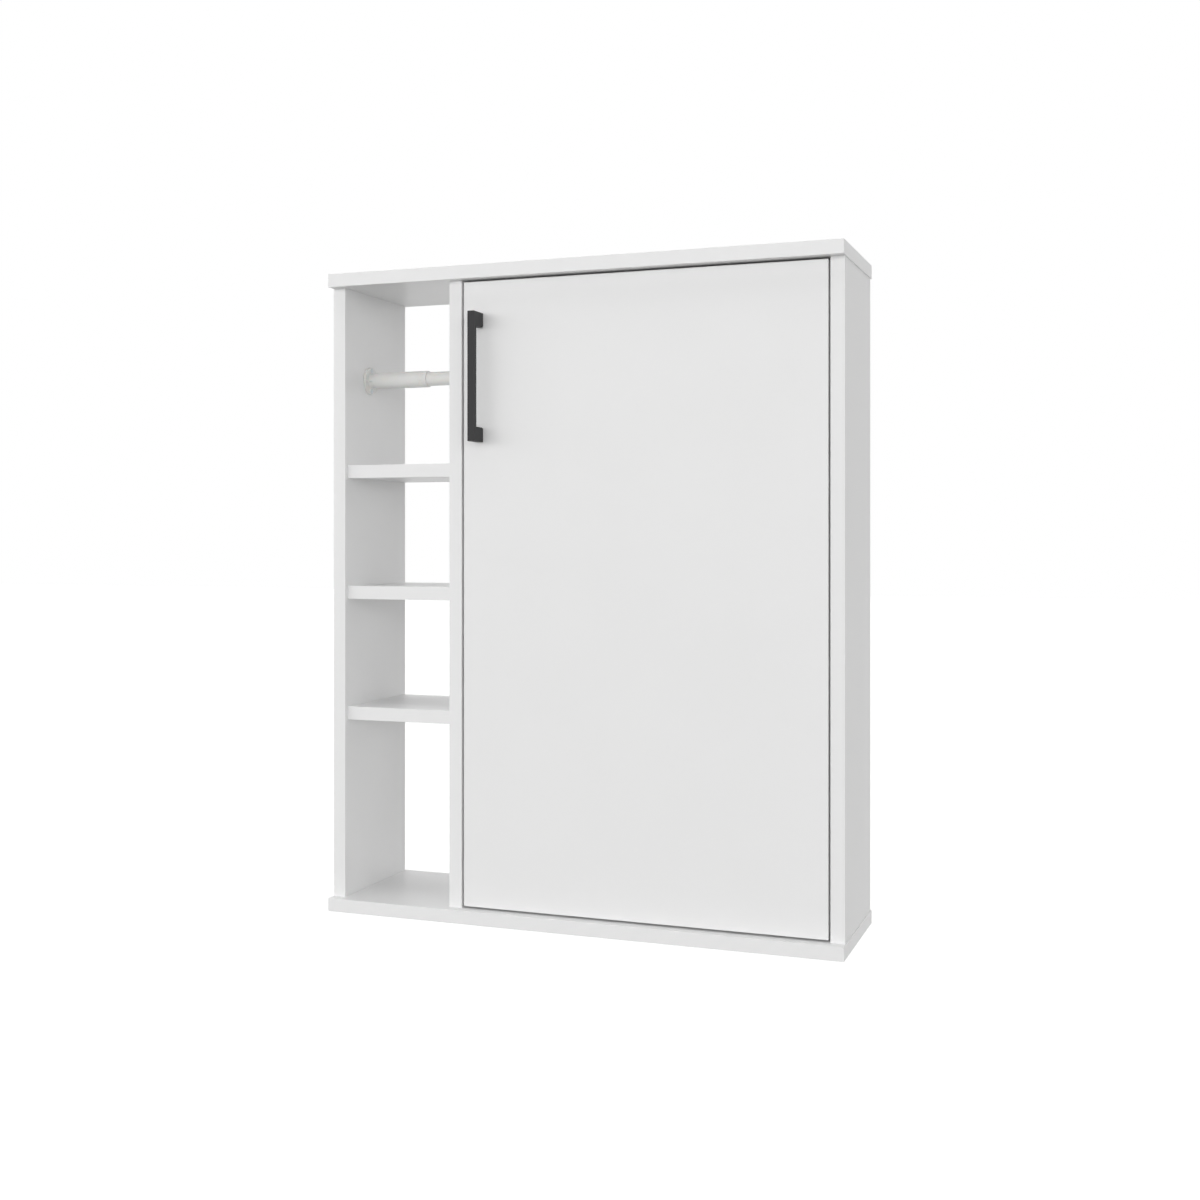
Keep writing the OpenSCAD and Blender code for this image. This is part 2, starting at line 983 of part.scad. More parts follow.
module hinge_plate() {
    translate([comp_x1 - plate_t, arm_straight_y0, -arm_w / 2])
        cube([plate_t, arm_l, arm_w]);
    translate([comp_x1 - plate_t, plate_mid_y - plate_ear_r, -plate_screw_spacing / 2])
        cube([plate_t, 2 * plate_ear_r, plate_screw_spacing]);
    for (s = [-1, 1])
        translate([comp_x1 - plate_t, plate_mid_y, s * plate_screw_spacing / 2])
            along_x()
                cylinder(h = plate_t, r = plate_ear_r);
}

module hinge_plates() {
    color(zinc)
        difference() {
            at_hinges()
                hinge_plate();
            at_plate_screws()
                small_screw_hole(small_screw_l);
            at_arm_screws()
                arm_screw_hole();
        }
}

module hinge_plate_screws() {
    color(steel)
        at_plate_screws()
            small_screw(plate_t + small_screw_l);
}

// Magnetic catch on the divider: a housing with two ears, and a magnet that stands proud
module catch_magnet_block(play) {
    translate([
        comp_x0 + catch_wall - play,
        catch_y0 - magnet_proud,
        catch_z - magnet_h / 2 - play
    ])
        cube([catch_w - 2 * catch_wall + 2 * play, catch_d - catch_wall, magnet_h + 2 * play]);
}

module catch_housing() {
    color(clear_white)
        difference() {
            union() {
                translate([comp_x0, catch_y0, catch_z - magnet_h / 2 - catch_wall])
                    cube([catch_w, catch_d, magnet_h + 2 * catch_wall]);
                translate([comp_x0, catch_y0 + catch_d - catch_ear_d, catch_z - catch_h / 2])
                    cube([catch_ear_t, catch_ear_d, catch_h]);
            }
            catch_magnet_block(fit_gap);
            at_catch_screws()
                small_screw_hole(small_screw_l);
        }
}

module catch_magnet() {
    color(black)
        catch_magnet_block(0);
}

module catch_screws() {
    color(steel)
        at_catch_screws()
            small_screw(catch_ear_t + small_screw_l);
}

module strike_plate() {
    color(steel)
        difference() {
            translate([strike_x0, door_y1, catch_z - strike_h / 2])
                cube([strike_w, strike_t, strike_h]);
            at_strike_screws()
                small_screw_hole(small_screw_l);
        }
}

module strike_screws() {
    color(steel)
        at_strike_screws()
            small_screw(strike_t + small_screw_l);
}

// Paper roller, all along X
module roller_socket() {
    difference() {
        union() {
            cylinder(h = socket_flange_t, r = socket_r);
            cylinder(h = socket_l, r = socket_boss_r);
        }
        translate([0, 0, socket_flange_t])
            cylinder(h = socket_depth + cut, r = roller_pin_r + 2 * fit_gap);
    }
}

module roller_sockets() {
    color(clear_white)
        difference() {
            union() {
                translate([column_x0, roller_y, top_bay_z])
                    along_x()
                        roller_socket();
                translate([divider_x, roller_y, top_bay_z])
                    against_x()
                        roller_socket();
            }
            at_socket_screws()
                small_screw_hole(small_screw_l);
        }
}

module roller_socket_screws() {
    color(steel)
        at_socket_screws()
            small_screw(socket_flange_t + small_screw_l);
}

module roller_outer_tube() {
    color(clear_white)
        translate([roller_x0, roller_y, top_bay_z])
            along_x()
                difference() {
                    union() {
                        translate([0, 0, -socket_depth])
                            cylinder(h = socket_depth + cut, r = roller_pin_r);
                        cylinder(h = roller_outer_l, r = roller_r);
                    }
                    translate([0, 0, end_wall])
                        cylinder(h = roller_outer_l, r = outer_bore_r);
                }
}

module roller_inner_tube() {
    color(clear_white)
        translate([inner_tube_x0, roller_y, top_bay_z])
            along_x()
                difference() {
                    union() {
                        cylinder(h = roller_x1 - inner_tube_x0, r = inner_tube_r);
                        cylinder(h = roller_x1 - inner_tube_x0 + socket_depth, r = roller_pin_r);
                    }
                    translate([0, 0, end_wall])
                        cylinder(
                            h = roller_x1 - inner_tube_x0 - 2 * end_wall,
                            r = inner_tube_r - roller_wall
                        );
                }
}

// Wire of the spring: rings of points along a helix, joined into one closed tube
spring_steps = 8;
spring_rings = spring_steps * spring_turns + 1;
spring_sides = 6;
spring_rise = (spring_l - 2 * spring_wire_r - 2 * loose_gap) / spring_turns;

function spring_point(i, j) =
    let (
        turn = 360 * i / spring_steps,
        side = 360 * j / spring_sides,
        r = spring_r + spring_wire_r * cos(side)
    )
    [
        r * cos(turn),
        r * sin(turn),
        loose_gap + spring_wire_r * (1 + sin(side)) + spring_rise * i / spring_steps
    ];

spring_points = [
    for (i = [0:spring_rings - 1])
        for (j = [0:spring_sides - 1])
            spring_point(i, j)
];
spring_faces = concat(
    [for (j = [1:spring_sides - 2]) [0, j + 1, j]],
    [
        for (i = [0:spring_rings - 2])
            for (j = [0:spring_sides - 1])
                let (
                    a = i * spring_sides + j,
                    b = i * spring_sides + (j + 1) % spring_sides
                )
                [a, b, b + spring_sides]
    ],
    [
        for (i = [0:spring_rings - 2])
            for (j = [0:spring_sides - 1])
                let (
                    a = i * spring_sides + j,
                    b = i * spring_sides + (j + 1) % spring_sides
                )
                [a, b + spring_sides, a + spring_sides]
    ],
    [
        for (j = [1:spring_sides - 2])
            let (last = (spring_rings - 1) * spring_sides)
            [last, last + j, last + j + 1]
    ]
);
spring_least_gap = min([
    for (i = [0:spring_rings - spring_steps - 1])
        for (j = [0:spring_sides - 1])
            for (k = [0:spring_sides - 1])
                norm(spring_point(i + spring_steps, j) - spring_point(i, k))
]);

module roller_spring() {
    echo("least gap between turns of the spring", spring_least_gap);
    color(steel)
        translate([spring_x0, roller_y, top_bay_z])
            along_x()
                polyhedron(points = spring_points, faces = spring_faces);
}

// Carcass fixings
module top_panel_screws() {
    color(steel)
        mirror([0, 0, 1])
            at_panel_joints()
                joint_screw();
}

module bottom_panel_screws() {
    color(steel)
        at_panel_joints()
            joint_screw();
}

module column_shelf_screws() {
    color(steel)
        at_shelf_joints()
            joint_screw();
}

module rail_screws() {
    color(steel)
        both_ends()
            at_rail_joints()
                joint_screw();
}

module panel_caps() {
    at_panel_joints()
        joint_cap();
    at_rail_joints()
        joint_cap();
}

module top_panel_caps() {
    color(white)
        mirror([0, 0, 1])
            panel_caps();
}

module bottom_panel_caps() {
    color(white)
        panel_caps();
}

module column_shelf_caps() {
    color(white)
        at_shelf_joints()
            joint_cap();
}

module panel_dowels() {
    color(beech)
        both_ends()
            at_panel_dowels()
                dowel();
}

module rail_dowels() {
    color(beech)
        at_rail_dowels()
            dowel();
}

module back_panel_nails() {
    color(steel)
        at_nails()
            nail();
}

top_panel();
bottom_panel();
left_side();
right_side();
divider();
column_shelf_upper();
column_shelf_middle();
column_shelf_lower();
back_panel();
hanging_rail_upper();
hanging_rail_lower();
inner_shelf_upper();
inner_shelf_lower();
shelf_pins();
door();
handle();
handle_screws();
hinge_cups();
hinge_cup_screws();
hinge_pins();
hinge_arms();
hinge_arm_screws();
hinge_plates();
hinge_plate_screws();
catch_housing();
catch_magnet();
catch_screws();
strike_plate();
strike_screws();
roller_sockets();
roller_socket_screws();
roller_outer_tube();
roller_inner_tube();
roller_spring();
top_panel_screws();
bottom_panel_screws();
column_shelf_screws();
rail_screws();
top_panel_caps();
bottom_panel_caps();
column_shelf_caps();
panel_dowels();
rail_dowels();
back_panel_nails();
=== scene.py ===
import json
import math

import bmesh
import bpy
from mathutils import Matrix, Vector


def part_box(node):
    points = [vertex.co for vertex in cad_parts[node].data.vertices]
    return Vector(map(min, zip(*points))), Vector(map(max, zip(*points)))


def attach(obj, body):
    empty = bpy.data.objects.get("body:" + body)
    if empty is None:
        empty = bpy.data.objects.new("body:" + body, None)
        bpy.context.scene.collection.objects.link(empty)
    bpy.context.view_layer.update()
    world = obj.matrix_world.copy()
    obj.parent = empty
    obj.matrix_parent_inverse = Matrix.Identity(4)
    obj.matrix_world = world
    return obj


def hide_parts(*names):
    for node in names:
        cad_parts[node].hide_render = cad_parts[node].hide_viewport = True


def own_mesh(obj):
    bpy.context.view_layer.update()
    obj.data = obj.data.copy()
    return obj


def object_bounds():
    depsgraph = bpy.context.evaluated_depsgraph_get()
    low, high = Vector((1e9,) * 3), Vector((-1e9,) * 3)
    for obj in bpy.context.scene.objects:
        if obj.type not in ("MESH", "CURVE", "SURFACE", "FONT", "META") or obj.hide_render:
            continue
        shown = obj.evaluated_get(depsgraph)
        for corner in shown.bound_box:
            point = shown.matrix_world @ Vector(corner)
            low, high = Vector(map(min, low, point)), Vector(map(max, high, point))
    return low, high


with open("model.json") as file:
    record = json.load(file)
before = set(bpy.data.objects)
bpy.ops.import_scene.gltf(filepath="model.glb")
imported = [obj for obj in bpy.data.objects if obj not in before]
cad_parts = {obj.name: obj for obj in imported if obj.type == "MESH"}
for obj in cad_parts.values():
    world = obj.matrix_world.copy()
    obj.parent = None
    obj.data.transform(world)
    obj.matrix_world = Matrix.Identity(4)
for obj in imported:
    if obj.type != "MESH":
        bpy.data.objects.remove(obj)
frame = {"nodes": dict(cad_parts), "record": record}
cad_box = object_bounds()
nodes = frame["nodes"]
scene = bpy.context.scene
MM = 0.001

# Sides of a board: the axis that each faces along, and its direction
SIDES = {
    "left": (0, -1), "right": (0, 1),
    "front": (1, -1), "back": (1, 1),
    "bottom": (2, -1), "top": (2, 1),
}
BAND_T = 0.8 * MM  # edge band
BAND_ROUND = 0.35 * MM  # its long edges, rounded by the trimmer
FACE_ROUND = 0.06 * MM  # broken edges of the bare board
CLEAR = 0.01 * MM  # keeps a rebuilt face off the CAD face that it is cut with
SAME = 0.0001 * MM  # vertices of a CAD node nearer than this are one
WELD = 0.0002 * MM  # the same after a cut or a join, and thinner slivers are dropped
EDGE_ANGLE = math.radians(35)  # faces that meet at more than this have an edge between them
SPRING_WIRE_R = 0.7  # in millimetres
SPRING_TURNS = 9

# The photograph's camera, in metres and degrees
CAMERA_PLACE = (0.50393, -1.63674, 0.06293)
CAMERA_TURN = 20.168
CAMERA_LENS = 44.468
CAMERA_SHIFT = -0.0522

# The studio. The world's white is 1, and the levels give each pale face its photographed tone.
FLOOR_Z = -1.6  # the cabinet hangs at eye level over the floor
FLOOR_REACH = 40
FLOOR_GLOW = 0.82  # lifts the floor to the background's white where it is seen
BAND_AZIMUTH = -54  # where the band of light is brightest
BAND_NEAR, BAND_FAR = 0.29, -0.99  # cosines of the turn from there where it starts and ends to fade
BAND_BRIGHT, BAND_DIM = 2.91, 0.44
BAND_FLAT, BAND_END = 0.2, 0.4  # sines of the elevation where it starts and ends to fade
SKY_LEVEL = 0.25
CEILING_BOX = {"azimuth": 0, "elevation": 90, "distance": 3.4, "size": (3.0, 3.0), "radiance": 2.4}


# Camera

def photo_camera():
    """Level camera at the photograph's place, turned to the left."""
    data = bpy.data.cameras.new("photo_camera")
    data.sensor_width = 36
    data.lens = CAMERA_LENS
    data.shift_y = CAMERA_SHIFT
    data.clip_end = 200
    camera = bpy.data.objects.new("photo_camera", data)
    camera.location = CAMERA_PLACE
    camera.rotation_euler = (math.radians(90), 0, math.radians(CAMERA_TURN))
    scene.collection.objects.link(camera)
    scene.camera = camera


# Materials

def linear(code):
    """sRGB hex colour as linear red, green, blue and alpha."""
    shares = [int(code[i:i + 2], 16) / 255 for i in (1, 3, 5)]
    return [s / 12.92 if s <= 0.04045 else ((s + 0.055) / 1.055) ** 2.4 for s in shares] + [1]


def grain(millimetres):
    """Texture scale that makes features of that size, in coordinates given in metres."""
    return 1000 / millimetres


def empty_tree(owner):
    """Node tree of a new material or world, with nothing in it."""
    owner.use_nodes = True
    owner.node_tree.nodes.clear()
    return owner.node_tree


def add(tree, kind, sockets=None, **settings):
    """Adds a node with its settings. A socket takes a value, or a link from another node: from the
    output given, or from a given node's first output in use."""
    node = tree.nodes.new("ShaderNode" + kind)
    for name, value in settings.items():
        setattr(node, name, value)
    for key, value in (sockets or {}).items():
        if isinstance(value, bpy.types.Node):
            value = next(output for output in value.outputs if output.enabled)
        if isinstance(value, bpy.types.NodeSocket):
            tree.links.new(value, node.inputs[key])
        else:
            node.inputs[key].default_value = value
    return node


def melamine_face(tree, place):
    """Melamine-faced chipboard, pressed with a fine pearl plate: an even cool white with a soft,
    slightly broken sheen. The pearl is about 0.4 mm; it is drawn at 1.6 mm so that it shows."""
    cloud = add(tree, "TexNoise", {"Vector": place, "Scale": grain(120), "Detail": 2.0})
    pearl = add(tree, "TexNoise", {"Vector": place, "Scale": grain(1.6), "Detail": 3.0})
    tone = add(tree, "MapRange", {"Value": cloud, "From Min": 0.35, "From Max": 0.65})
    return {
        "Base Color": add(tree, "Mix", {
            0: tone, 6: linear("#EFEFEF"), 7: linear("#F0F0F0"),
        }, data_type="RGBA"),
        "Roughness": add(tree, "MapRange", {
            "Value": pearl, "From Min": 0.3, "From Max": 0.7, "To Min": 0.36, "To Max": 0.44,
        }),
        "IOR": 1.5,
        "Normal": add(tree, "Bump", {"Height": pearl, "Strength": 0.06, "Distance": 0.03 * MM}),
    }


def edge_band(tree, place):
    """Extruded ABS edge band, trimmed and buffed: a touch glossier than the face beside it."""
    buffed = add(tree, "TexNoise", {"Vector": place, "Scale": grain(4), "Detail": 2.0})
    return {
        "Base Color": add(tree, "Mix", {
            0: buffed, 6: linear("#EFEFEF"), 7: linear("#F0F0F0"),
        }, data_type="RGBA"),
        "Roughness": add(tree, "MapRange", {
            "Value": buffed, "From Min": 0.3, "From Max": 0.7, "To Min": 0.34, "To Max": 0.39,
        }),
        "IOR": 1.52,
        "Normal": add(tree, "Bump", {"Height": buffed, "Strength": 0.04, "Distance": 0.03 * MM}),
    }


def sawn_chipboard(tree, place):
    """Sawn edge of chipboard, as on the rear edges that are never banded: pressed flakes and dust
    in several browns. Flakes are 1 to 4 mm."""
    flakes = add(tree, "TexVoronoi", {
        "Vector": place, "Scale": grain(2.4), "Randomness": 1.0,
    }, distance="CHEBYCHEV")
    flake = add(tree, "SeparateColor", {0: flakes.outputs["Color"]})
    dust = add(tree, "TexNoise", {"Vector": place, "Scale": grain(0.9), "Detail": 4.0})
    dusty = add(tree, "MapRange", {"Value": dust, "From Min": 0.42, "From Max": 0.62})
    wood = add(tree, "Mix", {
        0: flake, 6: linear("#A98657"), 7: linear("#D8BF93"),
    }, data_type="RGBA")
    return {
        "Base Color": add(tree, "Mix", {
            0: dusty, 6: linear("#7C5C38"), 7: wood,
        }, data_type="RGBA"),
        "Roughness": 0.92,
        "IOR": 1.45,
        "Normal": add(tree, "Bump", {"Height": dust, "Strength": 0.7, "Distance": 0.25 * MM}),
    }


def lacquered_hardboard(tree, place):
    """Thin fibreboard with a printed white lacquer on its inner face: flat white, duller than the
    melamine. Its fibres are about 2 mm."""
    fibre = add(tree, "TexNoise", {"Vector": place, "Scale": grain(2.2), "Detail": 4.0})
    return {
        "Base Color": add(tree, "Mix", {
            0: fibre, 6: linear("#EAEAE8"), 7: linear("#EEEEEC"),
        }, data_type="RGBA"),
        "Roughness": 0.5,
        "IOR": 1.5,
        "Normal": add(tree, "Bump", {"Height": fibre, "Strength": 0.15, "Distance": 0.08 * MM}),
    }


def raw_hardboard(tree, place):
    """The rear of the same fibreboard, bare: brown felted fibres in tufts of about 5 mm, matt, with
    a few dark specks."""
    felt = add(tree, "TexNoise", {
        "Vector": place, "Scale": grain(5), "Detail": 6.0, "Roughness": 0.65,
    })
    speck = add(tree, "TexNoise", {"Vector": place, "Scale": grain(1.6), "Detail": 1.0})
    tufts = add(tree, "MapRange", {"Value": felt, "From Min": 0.3, "From Max": 0.7})
    specks = add(tree, "MapRange", {"Value": speck, "From Min": 0.3, "From Max": 0.36})
    fibres = add(tree, "Mix", {
        0: tufts, 6: linear("#8E6A45"), 7: linear("#A98560"),
    }, data_type="RGBA")
    return {
        "Base Color": add(tree, "Mix", {
            0: specks, 6: linear("#5F4429"), 7: fibres,
        }, data_type="RGBA"),
        "Roughness": 0.8,
        "IOR": 1.45,
        "Normal": add(tree, "Bump", {"Height": felt, "Strength": 0.3, "Distance": 0.1 * MM}),
    }


def powder_coat(tree, place):
    """Die-cast zinc with a matt anthracite powder coat: a fine orange peel that spreads the
    highlights. The peel is about 0.5 mm; it is drawn at 1 mm so that it shows."""
    peel = add(tree, "TexNoise", {"Vector": place, "Scale": grain(1), "Detail": 2.0})
    return {
        "Base Color": add(tree, "Mix", {
            0: peel, 6: linear("#343435"), 7: linear("#39393A"),
        }, data_type="RGBA"),
        "Roughness": add(tree, "MapRange", {
            "Value": peel, "From Min": 0.3, "From Max": 0.7, "To Min": 0.5, "To Max": 0.6,
        }),
        "IOR": 1.5,
        "Specular IOR Level": 0.3,
        "Normal": add(tree, "Bump", {"Height": peel, "Strength": 0.25, "Distance": 0.06 * MM}),
    }


def nickel_plate(tree, place):
    """Pressed steel with bright nickel plating: a warm grey mirror, broken by faint stamping marks
    of about 3 mm."""
    marks = add(tree, "TexNoise", {"Vector": place, "Scale": grain(3), "Detail": 4.0})
    return {
        "Base Color": add(tree, "Mix", {
            0: marks, 6: linear("#C1BEB7"), 7: linear("#CAC7C1"),
        }, data_type="RGBA"),
        "Metallic": 1.0,
        "Roughness": add(tree, "MapRange", {
            "Value": marks, "From Min": 0.3, "From Max": 0.7, "To Min": 0.29, "To Max": 0.34,
        }),
        "Normal": add(tree, "Bump", {"Height": marks, "Strength": 0.05, "Distance": 0.05 * MM}),
    }


def zinc_plate(tree, place):
    """Screw steel with blue zinc plating: a cool metal with clouds of about 1.5 mm."""
    cloud = add(tree, "TexNoise", {"Vector": place, "Scale": grain(1.5), "Detail": 3.0})
    tone = add(tree, "MapRange", {"Value": cloud, "From Min": 0.3, "From Max": 0.7})
    return {
        "Base Color": add(tree, "Mix", {
            0: tone, 6: linear("#B3B9BE"), 7: linear("#C6C9CA"),
        }, data_type="RGBA"),
        "Metallic": 1.0,
        "Roughness": add(tree, "MapRange", {
            "Value": cloud, "From Min": 0.3, "From Max": 0.7, "To Min": 0.3, "To Max": 0.4,
        }),
    }


def drawn_wire(tree, place):
    """Drawn spring wire: dark polished steel with faint die streaks."""
    streaks = add(tree, "TexNoise", {"Vector": place, "Scale": grain(0.8), "Detail": 2.0})
    return {
        "Base Color": add(tree, "Mix", {
            0: streaks, 6: linear("#7D7E80"), 7: linear("#97989A"),
        }, data_type="RGBA"),
        "Metallic": 1.0,
        "Roughness": 0.3,
    }


def moulded_polypropylene(tree, place):
    """Moulded white polypropylene: slightly milky, with the fine spark-eroded grain of its mould.
    The grain is about 0.3 mm; it is drawn at 0.8 mm so that it shows."""
    spark = add(tree, "TexNoise", {"Vector": place, "Scale": grain(0.8), "Detail": 2.0})
    return {
        "Base Color": add(tree, "Mix", {
            0: spark, 6: linear("#E6E6E3"), 7: linear("#EAEAE8"),
        }, data_type="RGBA"),
        "Roughness": add(tree, "MapRange", {
            "Value": spark, "From Min": 0.3, "From Max": 0.7, "To Min": 0.36, "To Max": 0.46,
        }),
        "IOR": 1.49,
        "Subsurface Weight": 0.12,
        "Subsurface Scale": 2 * MM,
        "Normal": add(tree, "Bump", {"Height": spark, "Strength": 0.15, "Distance": 0.04 * MM}),
    }


def sintered_ferrite(tree, place):
    """Sintered ferrite magnet: dull black ceramic with a sandy grain, drawn at 0.7 mm so that it
    shows."""
    sand = add(tree, "TexNoise", {"Vector": place, "Scale": grain(0.7), "Detail": 3.0})
    return {
        "Base Color": add(tree, "Mix", {
            0: sand, 6: linear("#232325"), 7: linear("#3A3A3D"),
        }, data_type="RGBA"),
        "Roughness": 0.7,
        "IOR": 2.0,
        "Normal": add(tree, "Bump", {"Height": sand, "Strength": 0.4, "Distance": 0.1 * MM}),
    }


def turned_beech(tree, place):
    """Turned beech dowel: pale, with darker rays of about 1.2 mm."""
    rays = add(tree, "TexNoise", {"Vector": place, "Scale": grain(1.2), "Detail": 3.0})
    return {
        "Base Color": add(tree, "Mix", {
            0: rays, 6: linear("#B98F5F"), 7: linear("#D9B98C"),
        }, data_type="RGBA"),
        "Roughness": 0.7,
        "IOR": 1.45,
    }


def make_material(surface):
    """Material named for its surface, with the settings that the surface gives its shader."""
    made = bpy.data.materials.new(surface.__name__)
    tree = empty_tree(made)
    place = add(tree, "TexCoord").outputs["Object"]
    shader = add(tree, "BsdfPrincipled", surface(tree, place))
    add(tree, "OutputMaterial", {"Surface": shader})
    return made


FINISHES = {surface: make_material(surface) for surface in (
    melamine_face, edge_band, sawn_chipboard, lacquered_hardboard, raw_hardboard, powder_coat,
    nickel_plate, zinc_plate, drawn_wire, moulded_polypropylene, sintered_ferrite, turned_beech,
)}
CAD_FINISHES = {
    "screw_steel": zinc_plate,
    "hinge_zinc": nickel_plate,
    "spring_steel": drawn_wire,
    "white_plastic": moulded_polypropylene,
    "ferrite": sintered_ferrite,
    "beech_dowel": turned_beech,
    "black_handle": powder_coat,
    "white_board": melamine_face,
    "back_board": lacquered_hardboard,
}


def dress_cad_nodes():
    """Gives every CAD node the finish of its material slot."""
    for row in frame["record"]["subparts"]:
        node = nodes[row["node"]]
        for place in node.material_slots:
            place.material = FINISHES[CAD_FINISHES[row["material_slot"]]]


# Shapes

def mesh_of(shape, name="shape"):
    """Ends a bmesh and returns it as a mesh."""
    mesh = bpy.data.meshes.new(name)
    shape.to_mesh(mesh)
    shape.free()
    return mesh


def box_shape(low, high):
    shape = bmesh.new()
    bmesh.ops.create_cube(shape, size=1)
    for vert in shape.verts:
        vert.co = [low[i] if vert.co[i] < 0 else high[i] for i in range(3)]
    return shape


def side_of(face):
    return next(s for s, (axis, way) in SIDES.items() if face.normal[axis] * way > 0.9)


def round_edges(shape, edges, radius, segments):
    bmesh.ops.bevel(
        shape, geom=edges, offset=radius, offset_type="OFFSET", segments=segments, profile=0.5,
        affect="EDGES", clamp_overlap=True,
    )


def combine(mesh, tool, operation):
    """Joins, cuts or intersects one closed mesh with another, and returns the result."""
    holders = [bpy.data.objects.new("holder", m) for m in (mesh, tool)]
    for holder in holders:
        scene.collection.objects.link(holder)
    cutter = holders[0].modifiers.new("cut", "BOOLEAN")
    cutter.operation = operation
    cutter.solver = "MANIFOLD"
    cutter.object = holders[1]
    bpy.context.view_layer.update()
    seen = holders[0].evaluated_get(bpy.context.evaluated_depsgraph_get())
    result = bpy.data.meshes.new_from_object(seen)
    for holder in holders:
        bpy.data.objects.remove(holder)
    return result


def cleaned(mesh):
    """The same closed mesh without the doubled vertices and slivers that cuts and joins leave."""
    shape = bmesh.new()
    shape.from_mesh(mesh)
    bmesh.ops.remove_doubles(shape, verts=shape.verts, dist=WELD)
    bmesh.ops.dissolve_degenerate(shape, dist=WELD, edges=shape.edges)
    bmesh.ops.triangulate(shape, faces=[f for f in shape.faces if len(f.verts) > 3])
    return mesh_of(shape)


def cad_shape(node):
    """Closed copy of a CAD node's mesh."""
    shape = bmesh.new()
    shape.from_mesh(nodes[node].data)
    bmesh.ops.remove_doubles(shape, verts=shape.verts, dist=SAME)
    return shape


def new_piece(name, mesh, body, surfaces, stands_for=()):
    """Puts a mesh in the scene as a piece of the cabinet, smooth over its small roundings and flat
    on its faces."""
    mesh.name = name
    mesh.materials.clear()
    for surface in surfaces:
        mesh.materials.append(FINISHES[surface])
    mesh.shade_smooth()
    mesh.set_sharp_from_angle(angle=EDGE_ANGLE)
    piece = bpy.data.objects.new(name, mesh)
    scene.collection.objects.link(piece)
    even = piece.modifiers.new("even_faces", "WEIGHTED_NORMAL")
    even.keep_sharp = True
    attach(piece, body)
    for node in stands_for:
        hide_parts(node)
    return piece


def every_edge(a, b):
    return True


def soften(node, body, surface, steps, name=None, add_ons=()):
    """Copy of a CAD node with its sharp edges rounded, as its mould or press leaves them.
    Each step is a radius in millimetres and a test of an edge's two ends."""
    shape = cad_shape(node)
    bmesh.ops.dissolve_limit(
        shape, angle_limit=math.radians(0.5), use_dissolve_boundaries=False,
        verts=shape.verts, edges=shape.edges,
    )
    for radius, test in steps:
        sharp = [
            e for e in shape.edges if len(e.link_faces) == 2 and e.calc_face_angle() > EDGE_ANGLE
        ]
        chosen = [e for e in sharp if test(*(v.co for v in e.verts))]
        round_edges(shape, chosen, radius * MM, 3)
    mesh = mesh_of(shape)
    for add_on in add_ons:
        mesh = cleaned(combine(mesh, add_on, "UNION"))
    return new_piece(name or node + "_made", mesh, body, [surface], [node])


def gather(placed_meshes):
    """One mesh of several, each moved by its own matrix."""
    whole = bmesh.new()
    for mesh, matrix in placed_meshes:
        moved = mesh.copy()
        moved.transform(matrix)
        whole.from_mesh(moved)
        bpy.data.meshes.remove(moved)
    return mesh_of(whole)


# Boards, each with the sides that have an edge band

BOARDS = {
    "top_panel": {"front", "left", "right"},
    "bottom_panel": {"front", "left", "right"},
    "left_side": {"front"},
    "right_side": {"front"},
    "divider": {"front"},
    "column_shelf_upper": {"front"},
    "column_shelf_middle": {"front"},
    "column_shelf_lower": {"front"},
    "inner_shelf_upper": {"front"},
    "inner_shelf_lower": {"front"},
    "hanging_rail_upper": {"bottom"},
    "hanging_rail_lower": {"top"},
    "door": {"left", "right", "bottom", "top"},
}


def rebuild_board(node, body, banded):
    """Board with its faces, its sawn edges and its holes, and an edge band round the banded
    sides."""
    low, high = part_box(node)
    size = high - low
    across = min(range(3), key=lambda i: size[i])
    faces = {s for s, (axis, way) in SIDES.items() if axis == across}

    # The core stops where a band starts. The gap is the same box, run past the sides that have no
    # band, and is cut out of the band's block.
    past = 1 * MM
    core_low, core_high, gap_low, gap_high = low.copy(), high.copy(), low.copy(), high.copy()
    for side, (axis, way) in SIDES.items():
        inset = BAND_T if side in banded else CLEAR
        beyond = BAND_T if side in banded else -past
        if way < 0:
            core_low[axis] += inset
            gap_low[axis] += beyond
        else:
            core_high[axis] -= inset
            gap_high[axis] -= beyond

    core = box_shape(core_low, core_high)
    round_edges(core, core.edges[:], FACE_ROUND, 2)
    mesh = combine(mesh_of(core), mesh_of(cad_shape(node)), "INTERSECT")
    surfaces = [melamine_face, sawn_chipboard]
    new_piece(node + "_board", mesh, body, surfaces, [node])
    for polygon in mesh.polygons:
        depth = min(polygon.center[across] - low[across], high[across] - polygon.center[across])
        polygon.material_index = 0 if depth < FACE_ROUND + 2 * CLEAR else 1

    band = box_shape(low, high)
    rounded_edges = []
    for edge in band.edges:
        sides = {side_of(f) for f in edge.link_faces}
        if sides & banded and sides <= banded | faces:
            rounded_edges.append(edge)
    round_edges(band, rounded_edges, BAND_ROUND, 4)
    mesh = combine(mesh_of(band), mesh_of(box_shape(gap_low, gap_high)), "DIFFERENCE")
    new_piece(node + "_edge_band", mesh, body, [edge_band])


def rebuild_back_panel():
    """Fibreboard sheet, lacquered inside and bare behind and on its edges."""
    low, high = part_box("back_panel")
    inset = Vector((CLEAR, CLEAR, CLEAR))
    sheet = box_shape(low + inset, high - inset)
    round_edges(sheet, sheet.edges[:], FACE_ROUND, 2)
    mesh = combine(mesh_of(sheet), mesh_of(cad_shape("back_panel")), "INTERSECT")
    surfaces = [lacquered_hardboard, raw_hardboard]
    new_piece("back_sheet", mesh, "cabinet", surfaces, ["back_panel"])
    for polygon in mesh.polygons:
        polygon.material_index = 0 if polygon.center.y - low.y < FACE_ROUND else 1


